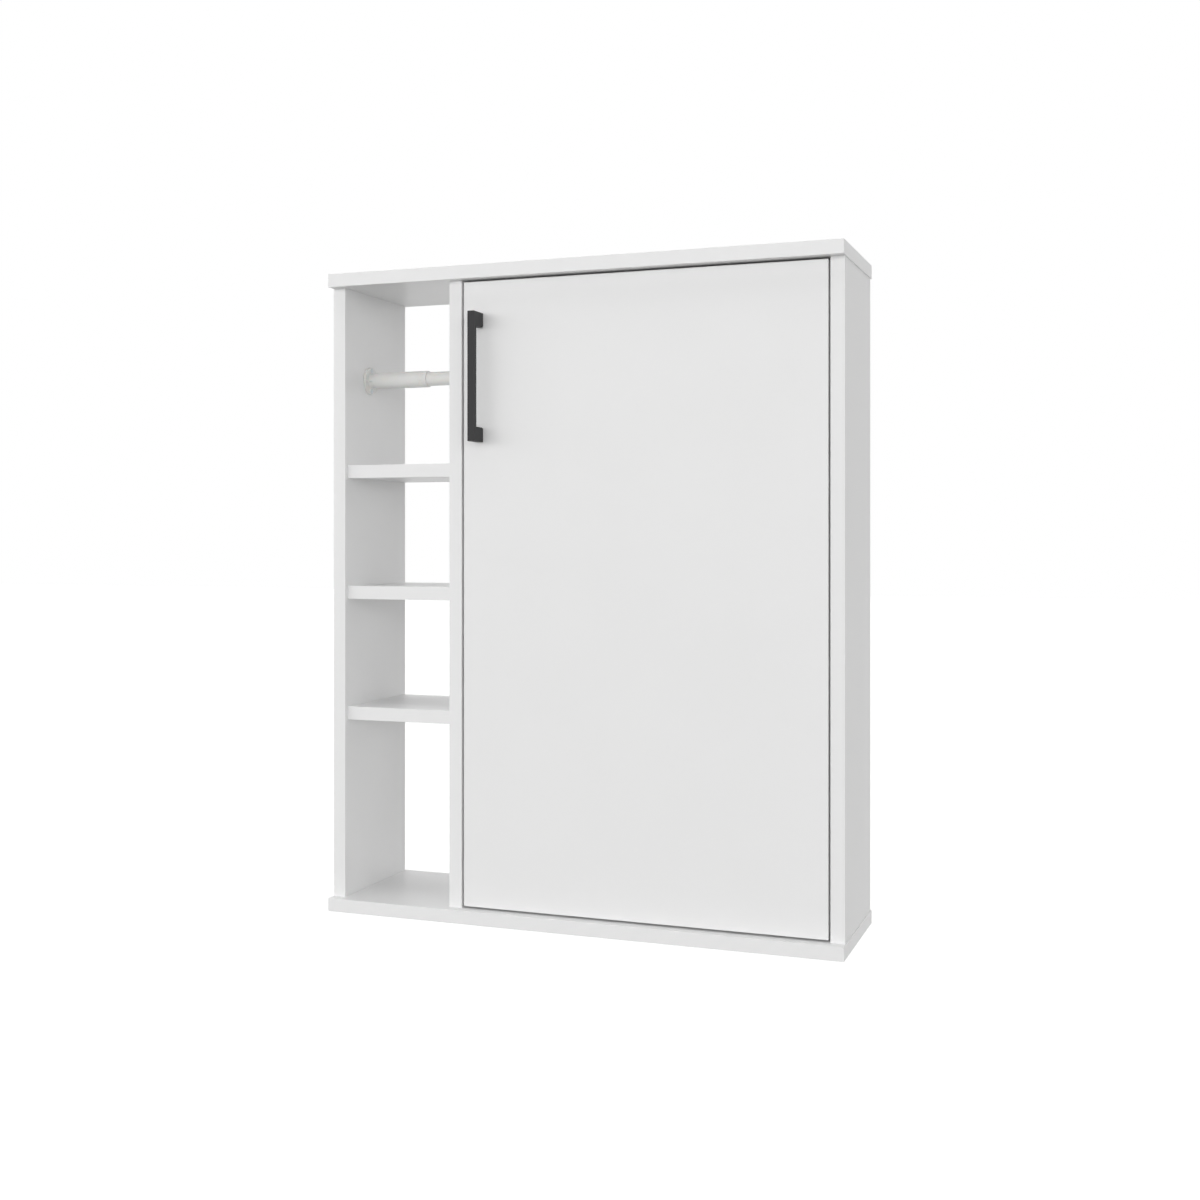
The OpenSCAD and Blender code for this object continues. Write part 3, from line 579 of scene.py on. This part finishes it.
# Turned parts. Their profiles are in millimetres, as a place along the axis, a place away from it
# and the radius of a rounding where there is one.

def rounded(corners, steps=4):
    """Points in metres of a line through corners in millimetres, each rounded where it has a third
    number."""
    points = []
    for i, (along, across, *radius) in enumerate(corners):
        here = Vector((along, across)) * MM
        if not radius:
            points.append(here)
            continue
        ends = []
        for other in (corners[i - 1], corners[(i + 1) % len(corners)]):
            to_other = Vector(other[:2]) * MM - here
            ends.append(here + to_other.normalized() * radius[0] * MM)
        for k in range(steps + 1):
            t = k / steps
            points.append(ends[0] * (1 - t) ** 2 + here * 2 * t * (1 - t) + ends[1] * t ** 2)
    return points


def turned(corners, segments=48):
    """Closed mesh turned about the X axis, from the corners of its profile."""
    shape = bmesh.new()
    turns = [2 * math.pi * i / segments for i in range(segments)]
    rings = [
        [
            shape.verts.new((x, r * math.cos(t), r * math.sin(t)))
            for t in (turns if r > 0 else turns[:1])
        ]
        for x, r in rounded(corners)
    ]
    for ring, after in zip(rings, rings[1:]):
        for i in range(segments):
            around = [
                ring[i % len(ring)], ring[(i + 1) % len(ring)],
                after[(i + 1) % len(after)], after[i % len(after)],
            ]
            shape.faces.new(list(dict.fromkeys(around)))
    return mesh_of(shape)


def loose_parts(node):
    """Loose parts of a CAD node, each as the places of its vertices."""
    shape = cad_shape(node)
    parts = []
    seen = set()
    for first in shape.verts:
        if first in seen:
            continue
        seen.add(first)
        part, waiting = [], [first]
        while waiting:
            vert = waiting.pop()
            part.append(vert.co.copy())
            for edge in vert.link_edges:
                other = edge.other_vert(vert)
                if other not in seen:
                    seen.add(other)
                    waiting.append(other)
        parts.append(part)
    shape.free()
    return parts


def lie_of(part, axis):
    """Middle of the wide end of a turned part, the direction from there into the part, and the
    part's length."""
    low, high = (Vector([pick(c[i] for c in part) for i in range(3)]) for pick in (min, max))
    ends = []
    for end in (low[axis], high[axis]):
        start = (low + high) / 2
        start[axis] = end
        width = max((c - start).length for c in part if abs(c[axis] - end) < 0.01 * MM)
        ends.append((width, start))
    ends.sort(key=lambda e: e[0], reverse=True)
    way = ends[1][1] - ends[0][1]
    return ends[0][1], way.normalized(), way.length


def towards(way):
    """Matrix that turns the X axis to a direction."""
    return Vector((1, 0, 0)).rotation_difference(way).to_matrix().to_4x4()


def remake_turned(node, axis, body, surface, make):
    """Replaces every loose part of a CAD node by a turned mesh that is made for its length in
    millimetres."""
    made = {}
    placed_meshes = []
    for part in loose_parts(node):
        start, way, length = lie_of(part, axis)
        key = round(length / MM, 3)
        if key not in made:
            made[key] = make(key)
        placed_meshes.append((made[key], Matrix.Translation(start) @ towards(way)))
    new_piece(node + "_made", gather(placed_meshes), body, [surface], [node])


def cut_cross(mesh, span, slot, depth):
    """Cuts a cross recess, narrower at its bottom, into the end of a screw that lies at the
    origin. The sizes are in millimetres."""
    past = 1 * MM
    bottom_share = 0.45
    for turn in (0, 90):
        tool = box_shape(
            [-past, -slot / 2 * MM, -span / 2 * MM], [depth * MM, slot / 2 * MM, span / 2 * MM],
        )
        for vert in tool.verts:
            if vert.co.x > 0:
                vert.co.z *= bottom_share
        about_x = Matrix.Rotation(math.radians(turn), 3, "X")
        bmesh.ops.rotate(tool, verts=tool.verts, matrix=about_x)
        mesh = cleaned(combine(mesh, mesh_of(tool), "DIFFERENCE"))
    return mesh


def small_screw(length):
    head = turned([(0, 0), (0, 3.2, 0.2), (1.2, 1.75), (length - 2.5, 1.75), (length, 0)])
    return cut_cross(head, 3.4, 0.8, 1.1)


def handle_screw(length):
    head = turned([
        (0, 0), (0, 4, 1.5), (2.4, 4, 0.2), (2.4, 2),
        (length - 0.8, 2), (length, 1.2), (length, 0),
    ])
    return cut_cross(head, 4, 0.9, 1.4)


def arm_screw(length):
    head = turned([
        (0, 0), (0, 3.6, 1.1), (1.8, 3.6, 0.15), (1.8, 2),
        (length - 0.8, 2), (length, 1.2), (length, 0),
    ])
    return cut_cross(head, 3.6, 0.8, 1.1)


def panel_nail(length):
    return turned(
        [(0, 0), (0, 1.6, 0.3), (0.6, 1.6), (0.6, 0.8), (length - 2, 0.8), (length, 0)], 24,
    )


def cover_cap(length):
    """Cap whose face is flush in its middle and falls a little towards its rim."""
    return turned([
        (0, 0), (0.03, 2.4), (0.14, 4.1), (0.24, 4.95, 0.25), (1.2, 4.95, 0.1), (1.2, 1.79),
        (length, 1.79, 0.3), (length, 0),
    ])


def outer_tube(length):
    """Tube of the roller's fixed end: a pin, a shoulder, and a mouth with two fine grooves behind
    its lip."""
    grooves = []
    for back in (9, 6):
        x = length - back
        grooves += [(x, 9.5, 0.15), (x + 0.3, 9.1), (x + 0.9, 9.1), (x + 1.2, 9.5, 0.15)]
    return turned([
        (0, 0), (0, 5, 0.8), (6, 5), (6, 9.5, 0.9), *grooves, (length, 9.5, 0.5),
        (length, 8.1, 0.2), (8, 8.1), (8, 0),
    ], 96)


def inner_tube(length):
    """Tube of the roller's sprung end, with its pin."""
    return turned([
        (0, 0), (0, 8, 0.4), (length - 6, 8, 0.9), (length - 6, 5), (length, 5, 0.8), (length, 0),
    ], 96)


def spring_coil(length, radius, wire, turns, steps=40, sides=10):
    """Compression spring along X, wound from one wire at a steady rate. The sizes are in
    millimetres."""
    shape = bmesh.new()
    along = Vector((1, 0, 0))
    rise = (length - 2 * wire) / (turns * steps)
    rings = []
    for step in range(turns * steps + 1):
        turn = math.tau * step / steps
        out = Vector((0, math.cos(turn), math.sin(turn)))
        middle = out * (radius - wire) + along * (wire + rise * step)
        rings.append([
            shape.verts.new((middle + (out * math.cos(side) + along * math.sin(side)) * wire) * MM)
            for side in (math.tau * i / sides for i in range(sides))
        ])
    for one, two in zip(rings, rings[1:]):
        for i in range(sides):
            shape.faces.new((one[i - 1], one[i], two[i], two[i - 1]))
    for end in (rings[0], rings[-1]):
        shape.faces.new(end)
    bmesh.ops.recalc_face_normals(shape, faces=shape.faces)
    return mesh_of(shape)


# Hardware

def rebuild_handle():
    """Cast bar with its outer edges broken. The edges of its screw holes, near its middle line,
    stay sharp."""
    middle = sum(c.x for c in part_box("handle")) / 2
    hole_reach = 3 * MM
    soften("handle", "door", powder_coat, [
        (0.35, lambda a, b: max(abs(a.x - middle), abs(b.x - middle)) > hole_reach),
    ])


def arm_rib(high, z):
    """Rib pressed into a hinge arm. It stands out on the side away from the mounting plate."""
    end, start = 15 * MM, 29 * MM  # from the arm's rear end
    foot, top = 1 * MM, 2.2 * MM  # from the arm's side at the panel
    half_w = 1.6 * MM
    rib = box_shape(
        (high.x - top, high.y - start, z - half_w), (high.x - foot, high.y - end, z + half_w),
    )
    round_edges(rib, rib.edges[:], 0.39 * MM, 3)
    return mesh_of(rib)


def rebuild_hinges():
    """Cups and arms of pressed steel with rolled edges, and a rib pressed into each arm."""
    flange_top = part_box("hinge_cups")[1].y
    soften("hinge_cups", "door", nickel_plate, [
        (0.3, lambda a, b: min(a.y, b.y) > flange_top - 0.1 * MM),
    ])
    low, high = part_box("hinge_arms")
    half_arm_w = 6 * MM
    ribs = [arm_rib(high, z) for z in (low.z + half_arm_w, high.z - half_arm_w)]
    soften("hinge_arms", "cabinet", nickel_plate, [(0.35, every_edge)], add_ons=ribs)
    soften("hinge_plates", "cabinet", nickel_plate, [(0.4, every_edge)])
    soften("hinge_pins", "door", zinc_plate, [(0.25, every_edge)])
    for node, axis, body, make in (
        ("hinge_cup_screws", 1, "door", small_screw),
        ("hinge_arm_screws", 0, "cabinet", arm_screw),
        ("hinge_plate_screws", 0, "cabinet", small_screw),
    ):
        remake_turned(node, axis, body, zinc_plate, make)


def rebuild_catch():
    """Moulded housing, a ferrite magnet between two steel pole plates, and the plate on the door
    that it holds."""
    soften("catch_housing", "cabinet", moulded_polypropylene, [(0.5, every_edge)])
    low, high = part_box("catch_magnet")
    pole_t = 1.3 * MM
    sunk = 0.5 * MM
    core = box_shape((low.x + pole_t, low.y + sunk, low.z), (high.x - pole_t, high.y, high.z))
    round_edges(core, core.edges[:], 0.1 * MM, 2)
    new_piece(
        "catch_magnet_core", mesh_of(core), "cabinet", [sintered_ferrite],
        ["catch_magnet"],
    )
    poles = []
    for x0, x1 in ((low.x, low.x + pole_t), (high.x - pole_t, high.x)):
        pole = box_shape((x0, low.y, low.z), (x1, high.y, high.z))
        round_edges(pole, pole.edges[:], 0.25 * MM, 3)
        poles.append((mesh_of(pole), Matrix()))
    new_piece("catch_pole_plates", gather(poles), "cabinet", [zinc_plate])
    soften("strike_plate", "door", zinc_plate, [
        (1.8, lambda a, b: abs(a.y - b.y) > 1 * MM),
        (0.25, every_edge),
    ])
    remake_turned("catch_screws", 0, "cabinet", zinc_plate, small_screw)
    remake_turned("strike_screws", 1, "door", zinc_plate, small_screw)


def socket_gusset(wall, way, axis, side):
    """Rib that slopes from a socket's boss down to its flange. It starts inside both, so that it
    joins them. The wall is the face that the socket is screwed to."""
    start, top, toe = 1 * MM, 7.5 * MM, 3.4 * MM  # from the wall, the last at the outer end
    near, far = 7 * MM, 13.5 * MM  # from the roller's axis
    half_t = 0.7 * MM
    x0, x1 = sorted((wall + way * start, wall + way * top))
    y0, y1 = sorted((axis.y + side * near, axis.y + side * far))
    gusset = box_shape((x0, y0, axis.z - half_t), (x1, y1, axis.z + half_t))
    for vert in gusset.verts:
        outer = abs(vert.co.y - axis.y) > (near + far) / 2
        raised = abs(vert.co.x - wall) > toe
        if outer and raised:
            vert.co.x = wall + way * toe
    round_edges(gusset, gusset.edges[:], 0.2 * MM, 2)
    return mesh_of(gusset)


def rebuild_roller():
    """Two moulded sockets with gussets, and the two tubes and the spring of the roller."""
    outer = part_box("roller_outer_tube")
    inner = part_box("roller_inner_tube")
    axis = Vector((0, (outer[0].y + outer[1].y) / 2, (outer[0].z + outer[1].z) / 2))

    def away(place):
        return math.hypot(place.y - axis.y, place.z - axis.z)

    low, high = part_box("roller_sockets")
    gussets = [
        socket_gusset(wall, way, axis, side)
        for wall, way in ((low.x, 1), (high.x, -1)) for side in (-1, 1)
    ]
    flange_rim, boss_rim = 15.9 * MM, 8.1 * MM
    soften("roller_sockets", "cabinet", moulded_polypropylene, [
        (0.6, lambda a, b: min(away(a), away(b)) > flange_rim or max(away(a), away(b)) < boss_rim),
    ], add_ons=gussets)
    remake_turned("roller_socket_screws", 0, "cabinet", zinc_plate, small_screw)

    for node, body, make, box in (
        ("roller_outer_tube", "roller", outer_tube, outer),
        ("roller_inner_tube", "roller_end", inner_tube, inner),
    ):
        mesh = make((box[1].x - box[0].x) / MM)
        mesh.transform(Matrix.Translation((box[0].x, axis.y, axis.z)))
        new_piece(node + "_made", mesh, body, [moulded_polypropylene], [node])

    low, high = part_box("roller_spring")
    mesh = spring_coil(
        (high.x - low.x) / MM, (high.z - low.z) / 2 / MM, SPRING_WIRE_R, SPRING_TURNS,
    )
    mesh.transform(Matrix.Translation((low.x, axis.y, axis.z)))
    spring = new_piece(
        "roller_spring_made", mesh, "roller", [drawn_wire], ["roller_spring"],
    )
    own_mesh(spring)


def rebuild_fixings():
    """Handle screws, cover caps, nails and shelf pins."""
    remake_turned("handle_screws", 1, "door", zinc_plate, handle_screw)
    remake_turned("back_panel_nails", 1, "cabinet", zinc_plate, panel_nail)
    for node, axis in (("top_panel_caps", 2), ("bottom_panel_caps", 2), ("column_shelf_caps", 0)):
        remake_turned(node, axis, "cabinet", moulded_polypropylene, cover_cap)
    soften("shelf_pins", "cabinet", zinc_plate, [(0.3, every_edge)])


# Studio

def compass(azimuth, elevation=0):
    """Direction from the cabinet, with the azimuth in degrees to the right of straight in front."""
    turn, rise = math.radians(azimuth), math.radians(elevation)
    return Vector((
        math.sin(turn) * math.cos(rise), -math.cos(turn) * math.cos(rise), math.sin(rise),
    ))


def seen_or_mirrored(tree):
    """1 for the rays that show a surface, directly, mirrored or through glass, and 0 for the rest,
    which carry its light to others."""
    path = add(tree, "LightPath")
    seen = path.outputs["Is Camera Ray"]
    for ray in ("Is Glossy Ray", "Is Transmission Ray"):
        seen = add(tree, "Math", {0: seen, 1: path.outputs[ray]}, operation="MAXIMUM")
    return seen


def studio_world():
    """Soft light in a wide band at eye level, which fades towards the right rear, under a dim sky,
    and a plain white background wherever the world is seen or mirrored."""
    world = bpy.data.worlds.new("studio")
    tree = empty_tree(world)
    direction = add(tree, "TexCoord").outputs["Generated"]
    facing = add(tree, "VectorMath", {
        0: direction, 1: compass(BAND_AZIMUTH),
    }, operation="DOT_PRODUCT")
    height = add(tree, "SeparateXYZ", {0: direction}).outputs["Z"]
    steepness = add(tree, "Math", {0: height}, operation="ABSOLUTE")
    around = add(tree, "MapRange", {
        "Value": facing, "From Min": BAND_FAR, "From Max": BAND_NEAR,
        "To Min": BAND_DIM, "To Max": BAND_BRIGHT,
    })
    level = add(tree, "MapRange", {
        "Value": steepness, "From Min": BAND_FLAT, "From Max": BAND_END,
        "To Min": 1.0, "To Max": 0.0,
    })
    band = add(tree, "Math", {0: around, 1: level}, operation="MULTIPLY")
    strength = add(tree, "Math", {0: band, 1: SKY_LEVEL}, operation="ADD")
    lit = add(tree, "Background", {"Color": linear("#FFFFFF"), "Strength": strength})
    shown = add(tree, "Background", {"Color": linear("#FFFFFF"), "Strength": 1.0})
    mixed = add(tree, "MixShader", {0: seen_or_mirrored(tree), 1: lit, 2: shown})
    add(tree, "OutputWorld", {"Surface": mixed})
    scene.world = world


def studio_floor():
    """Pale floor that fades into the white background and keeps the cabinet's shadow."""
    shape = bmesh.new()
    shape.faces.new([
        shape.verts.new((x * FLOOR_REACH, y * FLOOR_REACH, FLOOR_Z))
        for x, y in ((-1, -1), (1, -1), (1, 1), (-1, 1))
    ])
    floor = bpy.data.objects.new("studio_floor", mesh_of(shape))
    scene.collection.objects.link(floor)
    pale = bpy.data.materials.new("painted_floor")
    tree = empty_tree(pale)
    glow = add(tree, "Math", {0: seen_or_mirrored(tree), 1: FLOOR_GLOW}, operation="MULTIPLY")
    shader = add(tree, "BsdfPrincipled", {
        "Base Color": linear("#C4C4C3"), "Roughness": 0.9, "Specular IOR Level": 0.1,
        "Emission Color": linear("#FFFFFF"), "Emission Strength": glow,
    })
    add(tree, "OutputMaterial", {"Surface": shader})
    floor.data.materials.append(pale)


def soft_box(name, azimuth, elevation, distance, size, radiance):
    """Soft box that faces the cabinet from a compass direction, in degrees to the right of straight
    in front. Its power follows from its size and its radiance, where the world's white is 1."""
    middle = (cad_box[0] + cad_box[1]) / 2
    away = compass(azimuth, elevation)
    data = bpy.data.lights.new(name, "AREA")
    data.shape = "RECTANGLE"
    data.size, data.size_y = size
    data.energy = radiance * math.pi * size[0] * size[1]
    lamp = bpy.data.objects.new(name, data)
    lamp.location = middle + away * distance
    lamp.rotation_euler = away.to_track_quat("Z", "Y").to_euler()
    scene.collection.objects.link(lamp)


photo_camera()
studio_world()
studio_floor()
soft_box("ceiling_box", **CEILING_BOX)

dress_cad_nodes()
for node, banded in BOARDS.items():
    rebuild_board(node, "door" if node == "door" else "cabinet", banded)
rebuild_back_panel()
rebuild_handle()
rebuild_hinges()
rebuild_catch()
rebuild_roller()
rebuild_fixings()

scene.view_settings.view_transform = "Standard"
